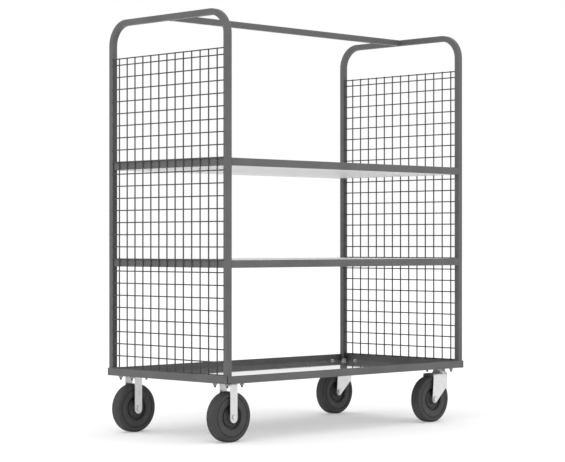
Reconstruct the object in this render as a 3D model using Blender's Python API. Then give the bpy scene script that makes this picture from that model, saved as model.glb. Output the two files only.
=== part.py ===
"""Roll cage container: a two-ended shelf trolley on four castors.

Frame: +X along the trolley, +Y across it, +Z up. The origin is on the floor, under the
centre of the whole trolley's box. The fixed castors are at the -X end and the swivel
castors at the +X end. All sizes are in metres.
"""
import math

import bmesh
import bpy
from mathutils import Vector

# ---------------------------------------------------------------- driving dimensions
GAP = 0.0003                # clearance left between pieces that touch

POST_X = 0.692              # post centre, from the middle of the trolley, along X
POST_Y = 0.351              # post centre, across Y
TUBE = 0.025                # square tube of the hoops and the tie bar
TUBE_WALL = 0.002
TUBE_CORNER = 0.003         # rounding of the tube's outer edges
TUBE_CORNER_STEPS = 1
BEND_R = 0.0925             # centreline radius of the hoop bends
BEND_STEPS = 6
HOOP_TOP = 1.7055           # top of the hoops and of the tie bar

BASE_BOTTOM = 0.235
BASE_HEIGHT = 0.031
ANGLE_T = 0.003             # thickness of the base and shelf angles
BASE_FLANGE = 0.020
CORNER_TAB = 0.021          # end tab that closes each short base angle
DECK_T = 0.0015

SHELF_BOTTOMS = {"lower": 0.687, "upper": 1.087}
SHELF_HEIGHT = 0.030
SHELF_FLANGE = 0.012        # the boards are rebated, so they lie flush with its underside
SHELF_GUSSET = 0.028        # corner plates of a shelf frame, inward of the posts' inner sides

MESH_PITCH = 0.050
MESH_COLUMNS = 13
MESH_ROWS = 26
MESH_STRIDE = 2             # the solid lattice has every second wire of the real panel
MESH_LOWEST = 0.2687        # height of the lowest horizontal wire
MESH_TOP_STEP = 0.0262      # from the last regular wire up to the border wire
MESH_OUT = 0.0095           # mesh plane, outward of the post centre
WIRE_UP = 0.0055            # upright wire
WIRE_FLAT = 0.005           # level wire
MESH_DEPTH = 0.0055

CASTOR_X = 0.632            # castor plate centre, from the middle of the trolley
CASTOR_Y = 0.291
CASTOR_TOP = 0.238
PLATE_X = 0.100
PLATE_Y = 0.090
PLATE_T = 0.004
BOLT_X = 0.078              # hole spacings of a castor plate
BOLT_Y = 0.072
BOLT_R = 0.0047             # castor bolts: shank, dome head, nut and end
BOLT_HEAD_R = 0.011
BOLT_HEAD_H = 0.0075
BOLT_NUT_R = 0.0095
BOLT_NUT_H = 0.008
BOLT_TIP_DROP = 0.019       # the shank's end, below the base frame
HOLE_R = 0.0058

WHEEL_R = 0.100
WHEEL_W = 0.050
TYRE_SEAT_R = 0.080
TYRE_SHOULDER = 0.006
RIM_HALF_W = 0.022
DISC_R = 0.050              # outer and inner edge of the step down to the recess
RECESS_R = 0.048
RECESS_HALF_W = 0.013
HUB_FOOT_R = 0.022
HUB_R = 0.020
HUB_HALF_W = 0.0275
HUB_BORE_R = 0.0105
BUSH_OUT_R = 0.0100
BUSH_IN_R = 0.0066
BUSH_HALF_W = 0.0285

AXLE_Z = WHEEL_R
AXLE_R = 0.006
AXLE_CLEAR = 0.0006         # round the axle in the fork's holes, and the king pin in its own
AXLE_HEAD_R = 0.011         # corner radius of the hexagons
AXLE_HEAD_T = 0.006
AXLE_NUT_T = 0.008
AXLE_END = 0.002            # the axle's end, beyond its nut

LEG_INNER = 0.029           # inner face of a fork leg, from the wheel's middle
LEG_T = 0.0035
FIXED_LEG_W = 0.038
FIXED_FOOT_RISE = 0.004     # centre of a fixed leg's round end, below the axle
TRAIL = 0.064               # axle behind the swivel axis, towards -X
LEG_FRONT = 0.0175          # front edge of a swivel leg, ahead of the swivel axis
LEG_REAR = 0.071            # rear edge at the top, behind the swivel axis
LEG_SHOULDER_Z = 0.155      # where the front edge turns towards the axle
LEG_END_R = 0.0155
CROWN_TOP = 0.212           # top of the swivel fork's crown
CROWN_T = 0.004
CROWN_REAR = 0.036          # the crown is shorter than the legs, which stand free behind it
BOSS_R = 0.031              # raised head on the crown
BOSS_WALL = 0.006
RACE_BOTTOM = 0.224
RACE_INNER_R = 0.012
RACE_EDGE_R = 0.027
RACE_MIDDLE_R = 0.029
CUP_T = 0.004               # cup under the swivel plate, above the ball race
CUP_LOW_R = 0.030
CUP_TOP_R = 0.034
CUP_INNER_R = 0.010
KING_R = 0.006
KING_NUT_R = 0.011
KING_NUT_T = 0.007
KING_END = 0.004            # the pin's end, below the crown

WELD = 0.001                # how far two solids that become one reach into each other
CUT = 0.01                  # how far a cutter runs past what it cuts
WHEEL_STEPS = 24            # facets of a wheel, one of them flat on the floor
ROUND_STEPS = 12
BOLT_STEPS = 6
LEG_END_STEPS = 6

# ---------------------------------------------------------------- derived dimensions
HALF_TUBE = TUBE / 2
BASE_OUT_X = POST_X + HALF_TUBE + GAP + ANGLE_T
BASE_OUT_Y = POST_Y + HALF_TUBE + GAP + ANGLE_T
BASE_TOP = BASE_BOTTOM + BASE_HEIGHT
SHIFT_X = (CASTOR_X + WHEEL_R - BASE_OUT_X) / 2     # puts the origin under the box's centre
POST_FOOT = BASE_BOTTOM + ANGLE_T + GAP
DECK_BOTTOM = BASE_BOTTOM + ANGLE_T + GAP
DECK_TOP = DECK_BOTTOM + DECK_T
PLATE_BOTTOM = CASTOR_TOP - PLATE_T
LEG_OUTER = LEG_INNER + LEG_T
NOTCH_X = POST_X - HALF_TUBE - GAP                  # inner sides of the posts
NOTCH_Y = POST_Y - HALF_TUBE - GAP
SHELF_END = POST_X + MESH_OUT - MESH_DEPTH / 2 - GAP    # the shelf ends stay inside the mesh
SHELF_SIDE = POST_Y + HALF_TUBE
CUP_BOTTOM = PLATE_BOTTOM - CUP_T

SIDES = {"front": -1, "back": 1}
ENDS = {"left": -1, "right": 1}


# ---------------------------------------------------------------- helpers
def clear_scene():
    for obj in list(bpy.data.objects):
        bpy.data.objects.remove(obj, do_unlink=True)


def material(name, color, roughness, metallic):
    mat = bpy.data.materials.new(name)
    mat.use_nodes = True
    shader = mat.node_tree.nodes["Principled BSDF"]
    shader.inputs["Base Color"].default_value = (*color, 1.0)
    shader.inputs["Roughness"].default_value = roughness
    shader.inputs["Metallic"].default_value = metallic
    return mat


def add_object(name, bm, finish, place=(0, 0, 0), parent=None):
    """Turn a bmesh into a named object, with its faces pointing out."""
    bmesh.ops.remove_doubles(bm, verts=bm.verts, dist=1e-6)
    bmesh.ops.recalc_face_normals(bm, faces=bm.faces)
    mesh = bpy.data.meshes.new(name)
    bm.to_mesh(mesh)
    bm.free()
    obj = bpy.data.objects.new(name, mesh)
    bpy.context.scene.collection.objects.link(obj)
    obj.location = place
    obj.parent = parent
    color, roughness, metallic = FINISHES[finish]
    mesh.materials.append(material(name, color, roughness, metallic))
    return obj


def empty(name, place):
    """An empty that marks a joint's axis; the pieces that turn on it are its children."""
    obj = bpy.data.objects.new(name, None)
    bpy.context.scene.collection.objects.link(obj)
    obj.location = place
    return obj


def prism(outline, low, high, axis="Z"):
    """A straight bar: the outline is in the plane across the axis, taken in XYZ order."""
    bm = bmesh.new()
    corners = []
    for a, b in outline:
        corner = {"X": (low, a, b), "Y": (a, low, b), "Z": (a, b, low)}[axis]
        corners.append(bm.verts.new(corner))
    face = bm.faces.new(corners)
    step = {"X": (high - low, 0, 0), "Y": (0, high - low, 0), "Z": (0, 0, high - low)}[axis]
    grown = bmesh.ops.extrude_face_region(bm, geom=[face])
    moved = [item for item in grown["geom"] if isinstance(item, bmesh.types.BMVert)]
    bmesh.ops.translate(bm, verts=moved, vec=step)
    bmesh.ops.recalc_face_normals(bm, faces=bm.faces)
    return bm


def rectangle(a0, a1, b0, b1):
    return [(a0, b0), (a1, b0), (a1, b1), (a0, b1)]


def circle(radius, steps, centre=(0, 0), turn=0.0):
    return [(centre[0] + radius * math.cos(turn + math.tau * i / steps),
             centre[1] + radius * math.sin(turn + math.tau * i / steps)) for i in range(steps)]


def turned(profile, steps, axis="Z", turn=0.0):
    """A turned ring: profile points are (radius, height) round a closed outline."""
    bm = bmesh.new()
    rings = []
    for i in range(steps):
        angle = turn + math.tau * i / steps
        c, s = math.cos(angle), math.sin(angle)
        if axis == "Z":
            rings.append([bm.verts.new((r * c, r * s, h)) for r, h in profile])
        else:
            rings.append([bm.verts.new((r * c, h, r * s)) for r, h in profile])
    count = len(profile)
    for i in range(steps):
        here, after = rings[i], rings[(i + 1) % steps]
        for j in range(count):
            k = (j + 1) % count
            bm.faces.new((here[j], here[k], after[k], after[j]))
    bmesh.ops.recalc_face_normals(bm, faces=bm.faces)
    return bm


def scratch(bm):
    """A temporary object for a Boolean; it is removed again by combine()."""
    mesh = bpy.data.meshes.new("scratch")
    bm.to_mesh(mesh)
    bm.free()
    obj = bpy.data.objects.new("scratch", mesh)
    bpy.context.scene.collection.objects.link(obj)
    return obj


def combine(body, added=(), removed=()):
    """One solid from a body, the solids welded to it and the solids cut out of it."""
    base = scratch(body)
    helpers = []
    for operation, solids in (("UNION", added), ("DIFFERENCE", removed)):
        for solid in solids:
            helper = scratch(solid)
            helpers.append(helper)
            step = base.modifiers.new(operation.lower(), "BOOLEAN")
            step.operation = operation
            step.solver = "EXACT"
            step.object = helper
    graph = bpy.context.evaluated_depsgraph_get()
    result = bmesh.new()
    result.from_mesh(base.evaluated_get(graph).to_mesh())
    for obj in [base] + helpers:
        bpy.data.objects.remove(obj, do_unlink=True)
    bmesh.ops.remove_doubles(result, verts=result.verts, dist=1e-6)
    bmesh.ops.dissolve_limit(result, angle_limit=1e-4, verts=result.verts, edges=result.edges)
    return result


def rounded_square(size, corner, steps):
    """Outline of a tube: a square with rounded corners, anticlockwise."""
    inset = size / 2 - corner
    points = []
    for quarter in range(4):
        angle = math.pi / 4 + quarter * math.pi / 2
        cx = math.copysign(inset, math.cos(angle))
        cy = math.copysign(inset, math.sin(angle))
        start = quarter * math.pi / 2
        for i in range(steps + 1):
            a = start + math.pi / 2 * i / steps
            points.append((cx + corner * math.cos(a), cy + corner * math.sin(a)))
    return points


def tube_ring(bm, point, side, up):
    """The outer and the inner corners of the tube at one place on its path."""
    outer = rounded_square(TUBE, TUBE_CORNER, TUBE_CORNER_STEPS)
    bore = HALF_TUBE - TUBE_WALL
    inner = [(bore, bore), (-bore, bore), (-bore, -bore), (bore, -bore)]
    return [[bm.verts.new(point + side * a + up * b) for a, b in outline] for outline in (outer, inner)]


def sweep_tube(path, frames):
    """A hollow square tube along a path, open at both ends."""
    bm = bmesh.new()
    rings = [tube_ring(bm, point, side, up) for point, (side, up) in zip(path, frames)]
    for here, after in zip(rings, rings[1:]):
        for near, far in zip(here, after):
            for i in range(len(near)):
                j = (i + 1) % len(near)
                bm.faces.new((near[i], near[j], far[j], far[i]))
    for outer, inner in (rings[0], rings[-1]):
        for corner in range(4):
            start = corner * (TUBE_CORNER_STEPS + 1)
            stop = start + TUBE_CORNER_STEPS
            for i in range(start, stop):
                bm.faces.new((outer[i], outer[i + 1], inner[corner]))
            beyond = outer[(stop + 1) % len(outer)]
            bm.faces.new((outer[stop], beyond, inner[(corner + 1) % 4], inner[corner]))
    bmesh.ops.recalc_face_normals(bm, faces=bm.faces)
    return bm


# ---------------------------------------------------------------- finishes
FINISHES = {
    "frame paint": ((0.135, 0.135, 0.130), 0.45, 0.0),
    "zinc": ((0.78, 0.79, 0.80), 0.25, 1.0),
    "shelf board": ((0.66, 0.66, 0.66), 0.50, 0.0),
    "deck sheet": ((0.74, 0.75, 0.76), 0.15, 1.0),
    "wheel centre": ((0.075, 0.075, 0.075), 0.55, 0.0),
    "tyre rubber": ((0.055, 0.055, 0.055), 0.70, 0.0),
    "dark steel": ((0.12, 0.12, 0.12), 0.40, 1.0),
    "bush plastic": ((0.30, 0.30, 0.31), 0.45, 0.0),
}


# ---------------------------------------------------------------- upright frame
def hoop(name, end):
    """An inverted U of bent square tube, standing in the base angles at one end."""
    x = SHIFT_X + end * POST_X
    top = HOOP_TOP - HALF_TUBE
    out = Vector((1, 0, 0))
    path = [Vector((x, -POST_Y, POST_FOOT))]
    frames = [(out, Vector((0, 1, 0)))]
    for side in (-1, 1):
        centre = Vector((x, side * (POST_Y - BEND_R), top - BEND_R))
        for i in range(BEND_STEPS + 1):
            angle = math.pi / 2 * i / BEND_STEPS
            if side > 0:
                angle = math.pi / 2 - angle
            radial = Vector((0, side * math.cos(angle), math.sin(angle)))
            path.append(centre + radial * BEND_R)
            frames.append((out, -radial))
    path.append(Vector((x, POST_Y, POST_FOOT)))
    frames.append((out, Vector((0, -1, 0))))
    return add_object(name, sweep_tube(path, frames), "frame paint")


def tie_bar():
    """The tube along the top that holds the two hoops apart."""
    z = HOOP_TOP - HALF_TUBE
    path = [Vector((SHIFT_X - NOTCH_X, 0, z)), Vector((SHIFT_X + NOTCH_X, 0, z))]
    frames = [(Vector((0, 1, 0)), Vector((0, 0, 1)))] * 2
    return add_object("top_tie_bar", sweep_tube(path, frames), "frame paint")


def mesh_panel(name, end):
    """A welded wire panel as a flat lattice: upright wires, level wires and their stubs."""
    x = SHIFT_X + end * (POST_X + MESH_OUT)
    middle = (MESH_COLUMNS - 1) / 2
    ys = [(i - middle) * MESH_PITCH for i in range(0, MESH_COLUMNS, MESH_STRIDE)]
    zs = [MESH_LOWEST + k * MESH_PITCH for k in range(0, MESH_ROWS, MESH_STRIDE)]
    zs.append(MESH_LOWEST + (MESH_ROWS - 1) * MESH_PITCH + MESH_TOP_STEP)
    bm = bmesh.new()
    points = {}

    def corner(y, z):
        key = (round(y, 6), round(z, 6))
        if key not in points:
            points[key] = bm.verts.new((x - MESH_DEPTH / 2, y, z))
        return points[key]

    half_up, half_flat = WIRE_UP / 2, WIRE_FLAT / 2
    for k, z in enumerate(zs):
        below = [corner(-NOTCH_Y, z - half_flat)]
        above = [corner(-NOTCH_Y, z + half_flat)]
        for y in ys:
            if k > 0:
                below += [corner(y - half_up, z - half_flat), corner(y + half_up, z - half_flat)]
            if k < len(zs) - 1:
                above += [corner(y - half_up, z + half_flat), corner(y + half_up, z + half_flat)]
        below.append(corner(NOTCH_Y, z - half_flat))
        above.append(corner(NOTCH_Y, z + half_flat))
        bm.faces.new(below + above[::-1])
    for low, high in zip(zs, zs[1:]):
        for y in ys:
            bm.faces.new((corner(y - half_up, low + half_flat), corner(y + half_up, low + half_flat),
                          corner(y + half_up, high - half_flat), corner(y - half_up, high - half_flat)))
    grown = bmesh.ops.extrude_face_region(bm, geom=list(bm.faces))
    moved = [item for item in grown["geom"] if isinstance(item, bmesh.types.BMVert)]
    bmesh.ops.translate(bm, verts=moved, vec=(MESH_DEPTH, 0, 0))
    return add_object(name, bm, "frame paint")


# ---------------------------------------------------------------- base and shelves
def base_short_rail(name, end):
    """The angle across one end of the base, closed by a tab round each corner."""
    outer = SHIFT_X + end * BASE_OUT_X
    inner = outer - end * ANGLE_T
    flange = outer - end * BASE_FLANGE
    lip = BASE_BOTTOM + ANGLE_T
    section = [(outer, BASE_BOTTOM), (outer, BASE_TOP), (inner, BASE_TOP), (inner, lip),
               (flange, lip), (flange, BASE_BOTTOM)]
    body = prism(section, -BASE_OUT_Y, BASE_OUT_Y, "Y")
    tab_end = outer - end * CORNER_TAB
    tabs = []
    for side in SIDES.values():
        face = side * BASE_OUT_Y
        tabs.append(prism(rectangle(*sorted((outer, tab_end)), *sorted((face, face - side * ANGLE_T))),
                          BASE_BOTTOM, BASE_TOP))
    return add_object(name, combine(body, added=tabs), "frame paint")


def base_long_rail(name, side):
    """The angle along one side of the base, between the tabs of the short rails."""
    reach = BASE_OUT_X - CORNER_TAB - GAP
    outer = side * BASE_OUT_Y
    inner = outer - side * ANGLE_T
    flange = outer - side * BASE_FLANGE
    lip = BASE_BOTTOM + ANGLE_T
    section = [(outer, BASE_BOTTOM), (outer, BASE_TOP), (inner, BASE_TOP), (inner, lip),
               (flange, lip), (flange, BASE_BOTTOM)]
    body = prism(section, SHIFT_X - reach, SHIFT_X + reach, "X")
    return add_object(name, body, "frame paint")


def notched(reach_x, reach_y, notch_x, notch_y):
    """A rectangle about the trolley's middle with a notch for the post in each corner."""
    quarter = [(reach_x, notch_y), (notch_x, notch_y), (notch_x, reach_y)]
    outline = quarter + [(-a, b) for a, b in quarter[::-1]]
    outline += [(-a, -b) for a, b in quarter] + [(a, -b) for a, b in quarter[::-1]]
    return [(SHIFT_X + a, b) for a, b in outline]


def castor_centres():
    for end_name, end in ENDS.items():
        for side_name, side in SIDES.items():
            yield f"{side_name}_{end_name}", end_name, SHIFT_X + end * CASTOR_X, side * CASTOR_Y


def bolt_places(x, y):
    return [(x + a * BOLT_X / 2, y + b * BOLT_Y / 2) for a, b in ((-1, -1), (1, -1), (1, 1), (-1, 1))]


def deck():
    """The sheet that lies in the base angles, with the castor bolt holes."""
    reach_x = BASE_OUT_X - ANGLE_T - GAP
    reach_y = BASE_OUT_Y - ANGLE_T - GAP
    body = prism(notched(reach_x, reach_y, NOTCH_X, NOTCH_Y), DECK_BOTTOM, DECK_TOP)
    holes = []
    for _, _, x, y in castor_centres():
        for place in bolt_places(x, y):
            holes.append(prism(circle(HOLE_R, BOLT_STEPS, place), DECK_BOTTOM - CUT, DECK_TOP + CUT))
    return add_object("base_deck", combine(body, removed=holes), "deck sheet")


def shelf_section(outer, inward, bottom):
    """Section of a shelf angle, with its flange turned in at the bottom."""
    inner = outer + inward * ANGLE_T
    flange = outer + inward * SHELF_FLANGE
    lip = bottom + ANGLE_T
    top = bottom + SHELF_HEIGHT
    return [(outer, bottom), (outer, top), (inner, top), (inner, lip), (flange, lip), (flange, bottom)]


def shelf_gusset(end, side, bottom):
    """The plate that joins two shelf angles round the inside of a post."""
    inner_x, inner_y = NOTCH_X - SHELF_GUSSET, NOTCH_Y - SHELF_GUSSET
    outer_x, outer_y = SHELF_END - ANGLE_T / 2, SHELF_SIDE - ANGLE_T / 2
    outline = [(inner_x, inner_y), (outer_x, inner_y), (outer_x, NOTCH_Y), (NOTCH_X, NOTCH_Y),
               (NOTCH_X, outer_y), (inner_x, outer_y)]
    outline = [(SHIFT_X + end * a, side * b) for a, b in outline]
    return prism(outline, bottom, bottom + ANGLE_T)


def shelf(level, bottom):
    """A frame of angle between the posts, and the rebated board that lies in it."""
    pieces = []
    for side in SIDES.values():
        section = shelf_section(side * SHELF_SIDE, -side, bottom)
        pieces.append(prism(section, SHIFT_X - NOTCH_X, SHIFT_X + NOTCH_X, "X"))
    for end in ENDS.values():
        section = shelf_section(SHIFT_X + end * SHELF_END, -end, bottom)
        pieces.append(prism(section, -NOTCH_Y, NOTCH_Y, "Y"))
        pieces += [shelf_gusset(end, side, bottom) for side in SIDES.values()]
    add_object(f"{level}_shelf_frame", combine(pieces[0], added=pieces[1:]), "frame paint")
    fit = ANGLE_T + GAP
    seat = bottom + ANGLE_T + GAP
    outline = notched(SHELF_END - fit, SHELF_SIDE - fit, NOTCH_X - GAP, NOTCH_Y - GAP)
    body = prism(outline, seat, bottom + SHELF_HEIGHT)
    fit = SHELF_FLANGE + GAP
    notch = SHELF_GUSSET + GAP
    outline = notched(SHELF_END - fit, SHELF_SIDE - fit, NOTCH_X - notch, NOTCH_Y - notch)
    board = combine(body, added=[prism(outline, bottom, seat + WELD)])
    add_object(f"{level}_shelf_board", board, "shelf board")


# ---------------------------------------------------------------- castors
def wheel(tag, hub):
    """Core, tyre and bush of one wheel, as children of the empty on its axle."""
    half = WHEEL_W / 2
    half_facet = math.pi / WHEEL_STEPS
    tread_r = WHEEL_R / math.cos(half_facet)          # the flat of a facet is at WHEEL_R
    side_r = tread_r - TYRE_SHOULDER
    tyre = [(TYRE_SEAT_R, -half), (side_r, -half), (tread_r, -half + TYRE_SHOULDER),
            (tread_r, half - TYRE_SHOULDER), (side_r, half), (TYRE_SEAT_R, half)]
    add_object(f"tyre_{tag}", turned(tyre, WHEEL_STEPS, "Y", half_facet), "tyre rubber", parent=hub)
    face = [(HUB_BORE_R, HUB_HALF_W), (HUB_R, HUB_HALF_W), (HUB_FOOT_R, RECESS_HALF_W),
            (RECESS_R, RECESS_HALF_W), (DISC_R, RIM_HALF_W), (TYRE_SEAT_R - GAP, RIM_HALF_W)]
    core = face + [(r, -h) for r, h in face[::-1]]
    add_object(f"wheel_core_{tag}", turned(core, WHEEL_STEPS, "Y", half_facet), "wheel centre", parent=hub)
    bush = [(BUSH_IN_R, -BUSH_HALF_W), (BUSH_OUT_R, -BUSH_HALF_W), (BUSH_OUT_R, BUSH_HALF_W),
            (BUSH_IN_R, BUSH_HALF_W)]
    add_object(f"wheel_bush_{tag}", turned(bush, ROUND_STEPS, "Y"), "bush plastic", parent=hub)


def axle(tag, place, parent=None):
    """The bolt through the fork legs and its nut."""
    seat = LEG_OUTER + GAP
    nut_out = seat + AXLE_NUT_T
    shank = prism(circle(AXLE_R, ROUND_STEPS), -seat - WELD, nut_out + AXLE_END, "Y")
    head = prism(circle(AXLE_HEAD_R, 6), -seat - AXLE_HEAD_T, -seat, "Y")
    add_object(f"axle_bolt_{tag}", combine(head, added=[shank]), "zinc", place, parent)
    bore = prism(circle(AXLE_R + GAP + GAP, ROUND_STEPS), seat - CUT, nut_out + CUT, "Y")
    nut = combine(prism(circle(AXLE_HEAD_R, 6), seat, nut_out, "Y"), removed=[bore])
    add_object(f"axle_nut_{tag}", nut, "zinc", place, parent)


def castor_plate_solid(centre_hole=None):
    """A castor's top plate about its own centre, with its four bolt holes."""
    body = prism(rectangle(-PLATE_X / 2, PLATE_X / 2, -PLATE_Y / 2, PLATE_Y / 2), PLATE_BOTTOM, CASTOR_TOP)
    holes = [prism(circle(HOLE_R, BOLT_STEPS, place), PLATE_BOTTOM - CUT, CASTOR_TOP + CUT)
             for place in bolt_places(0, 0)]
    if centre_hole:
        holes.append(prism(circle(centre_hole, ROUND_STEPS), PLATE_BOTTOM - CUT, CASTOR_TOP + CUT))
    return body, holes


def legs(outline):
    """The two legs of a fork, from one side view."""
    return [prism(outline, *sorted((side * LEG_INNER, side * LEG_OUTER)), "Y") for side in (-1, 1)]


def axle_hole(x):
    reach = LEG_OUTER + CUT
    return prism(circle(AXLE_R + AXLE_CLEAR, ROUND_STEPS, (x, AXLE_Z)), -reach, reach, "Y")


def round_end(centre, radius, start, span):
    """Points on a leg's round end, anticlockwise from an angle."""
    points = []
    for i in range(LEG_END_STEPS + 1):
        angle = start + span * i / LEG_END_STEPS
        points.append((centre[0] + radius * math.cos(angle), centre[1] + radius * math.sin(angle)))
    return points


def fixed_fork(tag, x, y):
    """Plate and two straight legs in one pressing; the wheel runs under the plate's centre."""
    half = FIXED_LEG_W / 2
    foot = round_end((0, AXLE_Z - FIXED_FOOT_RISE), half, math.pi, math.pi)
    outline = foot + [(half, PLATE_BOTTOM + WELD), (-half, PLATE_BOTTOM + WELD)]
    body, holes = castor_plate_solid()
    solid = combine(body, added=legs(outline), removed=holes + [axle_hole(0)])
    return add_object(f"castor_fork_{tag}", solid, "zinc", (x, y, 0))


def tangent_angle(point, centre, radius, sign):
    """Angle, seen from the centre, at which a line from the point touches the circle."""
    dx, dz = point[0] - centre[0], point[1] - centre[1]
    return math.atan2(dz, dx) + sign * math.acos(radius / math.hypot(dx, dz))


def swivel_outline():
    """Side view of a swivel leg: straight rear edge, front edge slanting to the axle."""
    centre = (-TRAIL, AXLE_Z)
    top = CROWN_TOP - WELD / 2
    shoulder = (LEG_FRONT, LEG_SHOULDER_Z)
    rear_top = (-LEG_REAR, top)
    start = tangent_angle(rear_top, centre, LEG_END_R, 1)
    stop = tangent_angle(shoulder, centre, LEG_END_R, -1)
    foot = round_end(centre, LEG_END_R, start, (stop - start) % math.tau)
    return foot + [shoulder, (LEG_FRONT, top), rear_top]


def swivel_fork(tag, pivot):
    """Crown, raised head and two slanting legs, turning about the king pin."""
    low = CROWN_TOP - CROWN_T
    head_top = RACE_BOTTOM - GAP
    crown = prism(rectangle(-CROWN_REAR, LEG_FRONT, -LEG_OUTER, LEG_OUTER), low, CROWN_TOP)
    head = prism(circle(BOSS_R, ROUND_STEPS), low, head_top)
    bore = prism(circle(KING_R + AXLE_CLEAR, ROUND_STEPS), low - CUT, head_top + CUT)
    hollow = prism(circle(BOSS_R - BOSS_WALL, ROUND_STEPS), low - CUT, head_top - CROWN_T)
    solid = combine(crown, added=[head] + legs(swivel_outline()), removed=[bore, hollow, axle_hole(-TRAIL)])
    return add_object(f"castor_fork_{tag}", solid, "zinc", parent=pivot)


def swivel_head(tag, x, y):
    """Top plate, ball race and king pin: the part of a swivel castor that stays still."""
    body, holes = castor_plate_solid(KING_R + AXLE_CLEAR)
    cup = turned([(CUP_INNER_R, CUP_BOTTOM), (CUP_LOW_R, CUP_BOTTOM), (CUP_TOP_R, PLATE_BOTTOM + WELD),
                  (CUP_INNER_R, PLATE_BOTTOM + WELD)], ROUND_STEPS)
    add_object(f"castor_plate_{tag}", combine(body, added=[cup], removed=holes), "zinc", (x, y, 0))
    race_top = CUP_BOTTOM - GAP
    race = turned([(RACE_INNER_R, RACE_BOTTOM), (RACE_EDGE_R, RACE_BOTTOM),
                   (RACE_MIDDLE_R, (RACE_BOTTOM + race_top) / 2), (RACE_EDGE_R, race_top),
                   (RACE_INNER_R, race_top)], ROUND_STEPS)
    add_object(f"ball_race_{tag}", race, "dark steel", (x, y, 0))
    crown_low = CROWN_TOP - CROWN_T
    pin = prism(circle(KING_R, ROUND_STEPS), crown_low - KING_END, CASTOR_TOP)
    nut = prism(circle(KING_NUT_R, 6), crown_low - KING_NUT_T, crown_low - GAP)
    add_object(f"king_pin_{tag}", combine(nut, added=[pin]), "dark steel", (x, y, 0))


def plate_bolts(tag, x, y):
    """Dome-headed bolts on the deck, each with its nut under the castor plate."""
    seat = DECK_TOP + GAP
    under = PLATE_BOTTOM - GAP
    crown_r = BOLT_HEAD_R - BOLT_HEAD_H + WELD
    profile = [(0, seat + BOLT_HEAD_H), (crown_r, seat + BOLT_HEAD_H - WELD), (BOLT_HEAD_R, seat),
               (BOLT_R, seat), (BOLT_R, under), (BOLT_NUT_R, under), (BOLT_NUT_R, under - BOLT_NUT_H),
               (0, BASE_BOTTOM - BOLT_TIP_DROP)]
    for number, place in enumerate(bolt_places(x, y), 1):
        bm = turned(profile, BOLT_STEPS)
        bmesh.ops.remove_doubles(bm, verts=bm.verts, dist=1e-6)
        bmesh.ops.dissolve_degenerate(bm, edges=bm.edges, dist=1e-6)
        add_object(f"plate_bolt_{tag}_{number}", bm, "dark steel", (*place, 0))


def castors():
    for tag, end_name, x, y in castor_centres():
        if end_name == "left":
            fixed_fork(tag, x, y)
            hub = empty(f"axle_axis_{tag}", (x, y, AXLE_Z))
            axle(tag, (x, y, AXLE_Z))
        else:
            swivel_head(tag, x, y)
            pivot = empty(f"swivel_axis_{tag}", (x, y, 0))
            swivel_fork(tag, pivot)
            hub = empty(f"axle_axis_{tag}", (-TRAIL, 0, AXLE_Z))
            hub.parent = pivot
            axle(tag, (-TRAIL, 0, AXLE_Z), pivot)
        wheel(tag, hub)
        plate_bolts(tag, x, y)


# ---------------------------------------------------------------- assembly
def main():
    clear_scene()
    for end_name, end in ENDS.items():
        hoop(f"{end_name}_hoop", end)
        mesh_panel(f"{end_name}_mesh", end)
        base_short_rail(f"base_rail_{end_name}", end)
    for side_name, side in SIDES.items():
        base_long_rail(f"base_rail_{side_name}", side)
    tie_bar()
    deck()
    for level, bottom in SHELF_BOTTOMS.items():
        shelf(level, bottom)
    castors()


main()
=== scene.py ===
"""Roll cage container: the finished look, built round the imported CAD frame.

Every place comes from the boxes of the CAD nodes. Lengths are in metres, +X runs along the
trolley towards its swivel castors, +Y across it and +Z up.
"""
import math

import bmesh
import bpy
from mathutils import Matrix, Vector


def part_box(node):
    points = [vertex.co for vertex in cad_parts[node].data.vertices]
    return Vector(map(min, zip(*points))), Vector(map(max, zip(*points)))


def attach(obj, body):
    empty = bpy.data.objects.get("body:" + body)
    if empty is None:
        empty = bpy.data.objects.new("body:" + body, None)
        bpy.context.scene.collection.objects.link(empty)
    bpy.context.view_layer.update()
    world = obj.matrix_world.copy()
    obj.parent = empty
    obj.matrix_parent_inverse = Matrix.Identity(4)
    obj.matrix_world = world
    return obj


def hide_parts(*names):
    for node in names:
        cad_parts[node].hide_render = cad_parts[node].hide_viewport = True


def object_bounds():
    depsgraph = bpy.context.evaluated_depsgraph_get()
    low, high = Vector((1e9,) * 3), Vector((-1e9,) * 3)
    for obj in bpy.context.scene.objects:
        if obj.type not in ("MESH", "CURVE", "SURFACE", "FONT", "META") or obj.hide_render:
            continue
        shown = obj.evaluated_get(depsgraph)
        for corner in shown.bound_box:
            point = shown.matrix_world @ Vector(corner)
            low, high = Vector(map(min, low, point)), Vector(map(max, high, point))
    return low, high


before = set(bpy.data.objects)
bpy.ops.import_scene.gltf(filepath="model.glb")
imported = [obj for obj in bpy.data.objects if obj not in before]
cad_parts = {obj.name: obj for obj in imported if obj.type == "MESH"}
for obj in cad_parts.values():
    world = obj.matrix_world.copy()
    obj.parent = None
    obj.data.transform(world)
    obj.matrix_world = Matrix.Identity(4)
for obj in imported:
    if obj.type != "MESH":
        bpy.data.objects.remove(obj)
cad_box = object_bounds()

# ---------------------------------------------------------------- sizes of the details
TUBE_WALL = 0.002
TUBE_CORNER = 0.003
BEND_R = 0.0925            # centreline radius of a hoop's bends
BEND_STEPS = 20
ANGLE_T = 0.003            # thickness of the base and shelf angles
SHELF_FLANGE = 0.012
SHELF_GUSSET = 0.028       # corner plates of a shelf frame, inward of the posts' inner sides
BASE_FLANGE = 0.020
CORNER_TAB = 0.021
EDGE = 0.0005              # rounding of a sheared steel edge

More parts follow.
